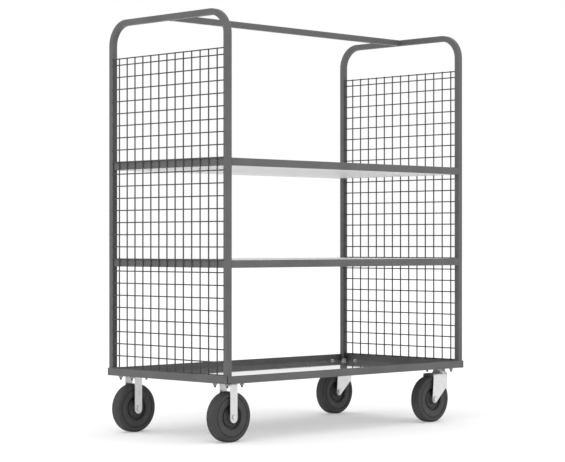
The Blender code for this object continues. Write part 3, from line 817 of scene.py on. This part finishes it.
def swivel_limits(axle_z, top):
    """X reach of a swivel leg by height: upright rear edge, slanting front edge, round end."""
    centre = -TRAIL
    dx, dz = LEG_FRONT - centre, LEG_SHOULDER
    reach = math.hypot(dx, dz)
    tangent = math.atan2(dz, dx) - math.acos(LEG_END_R / reach)
    touch_x = centre + LEG_END_R * math.cos(tangent)
    touch_z = LEG_END_R * math.sin(tangent)

    def limits(y, z):
        up = z - axle_z
        round_x = math.sqrt(max(0.0, LEG_END_R ** 2 - up ** 2)) if up < LEG_END_R else 0.0
        if up <= 0:
            rear = centre - round_x
        else:
            rear = -LEG_REAR - (LEG_END_R - (LEG_REAR - TRAIL)) * (1 - up / (top - axle_z))
        if up < touch_z:
            front = centre + round_x
        elif up < LEG_SHOULDER:
            front = touch_x + (LEG_FRONT - touch_x) * (up - touch_z) / (LEG_SHOULDER - touch_z)
        else:
            front = LEG_FRONT
        if abs(y) < LEG_OUTER - 0.0048:
            rear = -CROWN_REAR
        if front - rear < 0.004:
            rear, front = centre - 0.002, centre + 0.002
        return rear, front

    return limits


def swivel_fork(tag):
    """Crown, legs and the raised cup that carries the ball race."""
    node = f"castor_fork_{tag}"
    body = f"swivel_{tag}"
    low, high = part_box(node)
    tyre_low, tyre_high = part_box(f"tyre_{tag}")
    race_low, race_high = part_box(f"ball_race_{tag}")
    axle_z = (tyre_low.z + tyre_high.z) / 2
    centre = (race_low + race_high) / 2
    crown = race_low.z - 0.012
    path = fork_path(low.z, LEG_END_R, axle_z, crown, 0.006)
    fork = strap(path, swivel_limits(axle_z, crown))
    cup_top = high.z
    cup = [(0.0070, crown - 0.001), (0.0310, crown - 0.0025), (0.0308, crown + 0.002),
           (0.0290, crown + 0.006), (0.0275, crown + 0.0105), (0.0262, cup_top), (0.0070, cup_top)]
    bosses = [shifted(axle_boss(side, axle_z), -TRAIL, 0) for side in (-1, 1)]
    bm = joined(fork, turned(cup, 48), *bosses)
    piece(f"swivel_bracket_{tag}", shifted(bm, centre.x, centre.y), "zinc.shaded_inside", body, [node])


def swivel_head(tag):
    """The still part of a swivel castor: plate with its cup, balls in their race, king pin."""
    plate_node = f"castor_plate_{tag}"
    low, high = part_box(plate_node)
    plate, centre = top_plate(low, high)
    under = high.z - PLATE_T
    cup = [(0.0068, low.z), (0.0262, low.z), (0.0285, low.z + 0.0008), (0.0315, under - 0.0005),
           (0.0330, under + 0.0005), (0.0068, under + 0.0005)]
    bm = joined(plate, turned(cup, 48))
    piece(f"swivel_plate_{tag}", shifted(bm, centre.x, centre.y), "zinc", "cage", [plate_node])

    race_low, race_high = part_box(f"ball_race_{tag}")
    ball_r = (race_high.z - race_low.z) / 2 - 0.0001
    middle = (race_low.z + race_high.z) / 2
    inner_r, outer_r = 0.0125, 0.0215
    bm = turned([(inner_r, race_low.z), (outer_r, race_low.z), (outer_r, race_high.z),
                 (inner_r, race_high.z)], 48)
    ball = [(0.0, -ball_r)] + arc((0, 0), ball_r, -67.5, 67.5, 6) + [(0.0, ball_r)]
    for i in range(BALLS):
        angle = math.tau * i / BALLS
        spot = (BALL_CIRCLE * math.cos(angle), BALL_CIRCLE * math.sin(angle), middle)
        turned_into(bm, ball, 12, "Z", spot)
    shifted(bm, centre.x, centre.y)
    piece(f"ball_ring_{tag}", bm, "dark_steel", "cage", [f"ball_race_{tag}"])

    pin_low, pin_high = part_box(f"king_pin_{tag}")
    nut_top = pin_low.z + 0.0067
    bm = turned([(0, pin_low.z), (0.0050, pin_low.z), (0.0060, pin_low.z + 0.001),
                 (0.0060, pin_high.z - 0.0005), (0.0055, pin_high.z), (0, pin_high.z)], ROUND_STEPS)
    turned_into(bm, hex_profile(0.0108, pin_low.z + 0.0008, nut_top), 6)
    shifted(bm, centre.x, centre.y)
    piece(f"king_bolt_{tag}", bm, "dark_steel", "cage", [f"king_pin_{tag}"], sharp=25)


def hex_profile(radius, low, high):
    """Profile of a chamfered hexagon, for a body turned in six steps."""
    chamfer = min(0.0012, (high - low) / 5)
    return [(0, low), (radius * 0.87, low), (radius, low + chamfer), (radius, high - chamfer),
            (radius * 0.87, high), (0, high)]


def disc(radius, low, high):
    return [(0, low), (radius, low), (radius, high), (0, high)]


def axle_set(tag, body):
    """Axle bolt with its hexagon head and washer, and the lock nut at the other end."""
    low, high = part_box(f"axle_bolt_{tag}")
    nut_low, nut_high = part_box(f"axle_nut_{tag}")
    centre = ((low.x + high.x) / 2, 0, (low.z + high.z) / 2)
    head_in = low.y + HEAD_T
    bm = turned(hex_profile(NUT_R, low.y, head_in - WASHER_T), 6, "Y", centre)
    turned_into(bm, disc(WASHER_R, head_in - WASHER_T, head_in), ROUND_STEPS, "Y", centre)
    turned_into(bm, [(0, head_in), (AXLE_R, head_in), (AXLE_R, high.y - 0.001),
                     (AXLE_R - 0.001, high.y), (0, high.y)], ROUND_STEPS, "Y", centre)
    piece(f"axle_screw_{tag}", bm, "zinc", body, [f"axle_bolt_{tag}"], sharp=25)
    bm = turned(hex_profile(NUT_R, nut_low.y + WASHER_T, nut_high.y - 0.0018), 6, "Y", centre)
    turned_into(bm, disc(WASHER_R, nut_low.y, nut_low.y + WASHER_T), ROUND_STEPS, "Y", centre)
    turned_into(bm, [(0, nut_high.y - 0.002), (0.0086, nut_high.y - 0.002), (0.0078, nut_high.y),
                     (0, nut_high.y)], ROUND_STEPS, "Y", centre)
    piece(f"lock_nut_{tag}", bm, "zinc", body, [f"axle_nut_{tag}"], sharp=25)


def wheel(tag):
    """Tyre, moulded centre and bush, all turned about the axle."""
    body = f"wheel_{tag}"
    low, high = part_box(f"tyre_{tag}")
    centre = tuple((low + high) / 2)
    half = (high.y - low.y) / 2
    tread = (high.z - low.z) / 2
    seat = 0.0802
    flank = [(seat, half - 0.0040), (seat + 0.0006, half - 0.0026), (0.0825, half - 0.0016),
             (0.0850, half - 0.0005), (0.0880, half), (0.0900, half - 0.0003)]
    shoulder = arc((tread - 0.0095, half - 0.0098), 0.0095, 84, 8, 8)
    crown = [(tread - 0.00012, 0.010), (tread, 0.0)]
    profile = flank + shoulder + crown
    bm = turned(profile + [(r, -h) for r, h in profile[-2::-1]], WHEEL_STEPS, "Y", centre)
    piece(f"rubber_tyre_{tag}", bm, "tyre", body, [f"tyre_{tag}"], sharp=35)

    core_low, core_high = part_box(f"wheel_core_{tag}")
    hub = (core_high.y - core_low.y) / 2
    outer = [(0.0103, hub - 0.0008), (0.0110, hub), (0.0182, hub), (0.0198, hub - 0.0014),
             (0.0206, 0.0175), (0.0222, 0.0146), (0.0255, 0.0136), (0.0365, 0.0136),
             (0.0378, 0.0128), (0.0386, 0.0100), (0.0400, 0.0090), (0.0462, 0.0090),
             (0.0478, 0.0100), (0.0490, 0.0140), (0.0504, 0.0200), (0.0522, 0.0214),
             (0.0700, 0.0224), (0.0752, 0.0226), (0.0770, 0.0222), (0.0778, 0.0204),
             (0.0797, 0.0204)]
    bm = turned(mirrored(outer), WHEEL_STEPS, "Y", centre)
    stud = [(0, 0.0134), (0.0034, 0.0134), (0.0030, 0.0154), (0, 0.0156)]
    for i in range(STUDS):
        angle = math.tau * (i + 0.5) / STUDS
        spot = (centre[0] + STUD_CIRCLE * math.cos(angle), centre[1],
                centre[2] + STUD_CIRCLE * math.sin(angle))
        for side in (-1, 1):
            turned_into(bm, [(r, side * h) for r, h in stud], 16, "Y", spot)
    piece(f"moulded_centre_{tag}", bm, "wheel_centre", body, [f"wheel_core_{tag}"], sharp=35)

    bush_low, bush_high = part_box(f"wheel_bush_{tag}")
    reach = (bush_high.y - bush_low.y) / 2
    ring = [(0.0066, reach - 0.0006), (0.0072, reach), (0.0093, reach), (0.0100, reach - 0.0006)]
    bm = turned(mirrored(ring), ROUND_STEPS, "Y", centre)
    piece(f"plain_bush_{tag}", bm, "bush", body, [f"wheel_bush_{tag}"], sharp=35)


def plate_bolt(tag, number):
    """Dome head on the deck; washer, nut and threaded end under the castor plate."""
    node = f"plate_bolt_{tag}_{number}"
    low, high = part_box(node)
    x, y = (low.x + high.x) / 2, (low.y + high.y) / 2
    deck_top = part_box("base_deck")[1].z
    seat = deck_top + 0.0002
    plate_node = f"castor_fork_{tag}" if tag.endswith("left") else f"castor_plate_{tag}"
    plate_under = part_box(plate_node)[1].z - PLATE_T
    washer_under = plate_under - 0.0017
    head_r = (high.x - low.x) / 2
    dome = [(0, high.z), (0.30 * head_r, high.z - 0.0003), (0.60 * head_r, high.z - 0.0016),
            (0.82 * head_r, high.z - 0.0036), (0.97 * head_r, seat + 0.0014),
            (0.99 * head_r, seat + 0.0005), (0.97 * head_r, seat), (0.0046, seat)]
    shank_r, root_r = 0.0047, 0.0041
    nut_low = plate_under - 0.0090
    thread = []
    turns = 7
    pitch = (nut_low - low.z - 0.001) / turns
    for i in range(turns):
        z = nut_low - i * pitch
        thread += [(root_r, z), (shank_r, z - pitch / 2)]
    shank = dome + thread + [(root_r - 0.0004, low.z + 0.0004), (root_r - 0.001, low.z), (0, low.z)]
    bm = turned(shank, 24, "Z", (x, y, 0))
    turned_into(bm, disc(0.0093, washer_under, plate_under - 0.0002), 24, "Z", (x, y, 0))
    turned_into(bm, hex_profile(0.0088, nut_low, washer_under), 6, "Z", (x, y, 0), 0.3 * number)
    piece(f"fixing_bolt_{tag}_{number}", bm, "dark_steel", "cage", [node], sharp=25)


def castors():
    for tag in ("front_left", "back_left", "front_right", "back_right"):
        swivels = tag.endswith("right")
        if swivels:
            swivel_fork(tag)
            swivel_head(tag)
        else:
            fixed_fork(tag)
        axle_set(tag, f"swivel_{tag}" if swivels else "cage")
        wheel(tag)
        for number in (1, 2, 3, 4):
            plate_bolt(tag, number)


# ---------------------------------------------------------------- stage, light and camera
def floor():
    """A plain pale floor that stays almost white, with only a soft contact shadow."""
    bm = bmesh.new()
    bmesh.ops.create_grid(bm, x_segments=1, y_segments=1, size=60.0)
    mesh = bpy.data.meshes.new("floor")
    bm.to_mesh(mesh)
    bm.free()
    obj = bpy.data.objects.new("floor", mesh)
    bpy.context.scene.collection.objects.link(obj)
    shader = Shader("floor")
    tone = shader.spread(shader.noise(3.0), 0.3, 0.7)
    shader.color(shader.mix(tone, (0.90, 0.90, 0.90), (0.92, 0.92, 0.92)))
    shader.value("Roughness", 0.9)
    shader.value("Specular IOR Level", 0.0)
    shader.value("Emission Color", (1.0, 1.0, 1.0, 1.0))
    shader.value("Emission Strength", FLOOR_GLOW)
    mesh.materials.append(shader.material)


def area_light(name, place, target, size, power):
    data = bpy.data.lights.new(name, "AREA")
    data.shape = "SQUARE"
    data.size = size
    data.energy = power
    lamp = bpy.data.objects.new(name, data)
    lamp.location = place
    lamp.rotation_mode = "QUATERNION"
    lamp.rotation_quaternion = (Vector(target) - Vector(place)).to_track_quat("-Z", "Y")
    bpy.context.scene.collection.objects.link(lamp)


def lights():
    scene = bpy.context.scene
    world = bpy.data.worlds.new("studio")
    scene.world = world
    world.use_nodes = True
    background = world.node_tree.nodes["Background"]
    background.inputs["Color"].default_value = (1.0, 1.0, 1.0, 1.0)
    background.inputs["Strength"].default_value = 1.0
    middle = (cad_box[0] + cad_box[1]) / 2
    area_light("key", (-4.5, -1.5, 4.0), middle, 3.0, 45.0)
    area_light("fill", (2.0, -5.0, 2.5), middle, 3.5, 20.0)
    scene.view_settings.view_transform = "Standard"


CAMERA_PLACE = (-5.603, -5.701, 0.7797)
CAMERA_YAW = 44.92         # degrees from +Y towards +X; the camera looks level
CAMERA_LENS = 118.9
CAMERA_SHIFT = (-0.0354, 0.0233)


def camera():
    data = bpy.data.cameras.new("camera")
    data.sensor_width = 36.0
    data.lens = CAMERA_LENS
    data.shift_x, data.shift_y = CAMERA_SHIFT
    obj = bpy.data.objects.new("camera", data)
    obj.location = CAMERA_PLACE
    obj.rotation_euler = (math.pi / 2, 0, -math.radians(CAMERA_YAW))
    bpy.context.scene.collection.objects.link(obj)
    bpy.context.scene.camera = obj


# ---------------------------------------------------------------- assembly
camera()
lights()
floor()
for end_name, end in (("left", -1), ("right", 1)):
    hoop(end_name)
    wire_panel(end_name, end)
    base_short_rail(end_name, end)
for side_name, side in (("front", -1), ("back", 1)):
    base_long_rail(side_name, side)
tie_bar()
deck()
for level in ("lower", "upper"):
    shelf(level)
castors()
